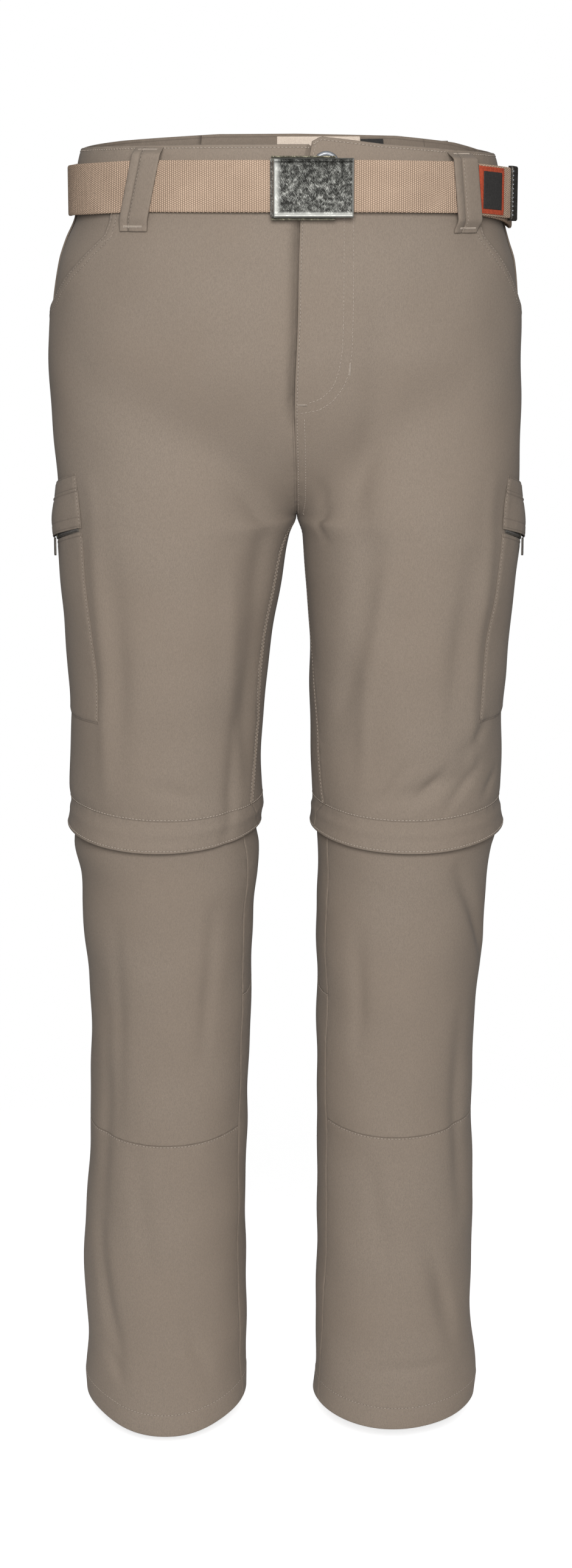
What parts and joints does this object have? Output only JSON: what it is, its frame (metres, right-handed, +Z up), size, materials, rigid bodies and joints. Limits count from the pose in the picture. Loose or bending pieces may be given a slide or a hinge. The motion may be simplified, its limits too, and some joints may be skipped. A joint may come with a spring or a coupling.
{
  "type": "convertible zip-off trousers with belt",
  "caption": "Zip-off trousers filled out as worn, with open waist and hems, flapped zip pockets on the thighs and a webbing belt with a clamp buckle.",
  "frame": {"origin": "middle of the waist opening at belt height, where the wearer carries the trousers", "axes": "+Z up along the standing wearer, -Y out of the front, +X to the wearer's left"},
  "size_m": [0.3992, 0.2663, 1.1229],
  "materials": {
    "cloth": "matt plain woven polyamide",
    "cloth_inner": "matt plain woven lining",
    "webbing": "coarse flecked webbing",
    "zip_tape": "zip tape with moulded coil",
    "pewter": "mottled dull metal",
    "gunmetal": "dark dull metal",
    "steel": "satin",
    "pull": "soft moulded tab",
    "patch": "matt",
    "inset": "fine woven label",
    "label_tape": "soft woven tape"
  },
  "bodies": {
    "trousers": {"front_upper_r": "cloth", "front_upper_l": "cloth", "back_upper_r": "cloth", "back_upper_l": "cloth", "pocket_facing_r": "cloth_inner", "pocket_facing_l": "cloth_inner", "thigh_pocket_r": "cloth", "thigh_pocket_l": "cloth", "thigh_pocket_flap_r": "cloth", "thigh_pocket_flap_l": "cloth", "thigh_zip_tape_r": "zip_tape", "thigh_zip_tape_l": "zip_tape", "thigh_zip_slider_r": "pewter", "thigh_zip_slider_l": "pewter", "knee_flap_front_r": "cloth", "knee_flap_front_l": "cloth", "knee_flap_back_r": "cloth", "knee_flap_back_l": "cloth", "knee_zip_upper_r": "zip_tape", "knee_zip_upper_l": "zip_tape", "knee_zip_lower_r": "zip_tape", "knee_zip_lower_l": "zip_tape", "knee_zip_slider_r": "pewter", "knee_zip_slider_l": "pewter", "front_knee_r": "cloth", "front_knee_l": "cloth", "front_shin_r": "cloth", "front_shin_l": "cloth", "back_knee_r": "cloth", "back_knee_l": "cloth", "back_calf_r": "cloth", "back_calf_l": "cloth", "fly_facing": "cloth_inner", "fly_zip": "zip_tape", "waistband_front_r": "cloth", "waistband_front_l": "cloth", "waistband_back": "cloth", "inside_tape": "label_tape", "inside_label": "inset", "belt_loop_front_r": "cloth", "belt_loop_front_l": "cloth", "belt_loop_back": "cloth", "belt_loop_side_r": "cloth", "belt_loop_side_l": "cloth", "belt_base": "webbing", "belt_tail": "webbing", "belt_tip": "gunmetal", "belt_patch": "patch", "belt_patch_inset": "inset", "buckle_plate": "pewter", "buckle_frame": "pewter", "buckle_hinge_bar": "gunmetal", "tack_button": "steel"},
    "zip_pull_r": {"thigh_zip_pull_r": "pull"},
    "zip_pull_l": {"thigh_zip_pull_l": "pull"}
  },
  "joints": [
    {"name": "zip_pull_r_swing", "type": "hinge", "parent": "trousers", "child": "zip_pull_r", "pos_m": [-0.20205, -0.02672, -0.28974], "axis": [-0.2226, 0.9749, 0], "range_deg": [0, 70]},
    {"name": "zip_pull_l_swing", "type": "hinge", "parent": "trousers", "child": "zip_pull_l", "pos_m": [0.18875, -0.02665, -0.28971], "axis": [-0.2084, -0.978, 0], "range_deg": [0, 70]}
  ]
}
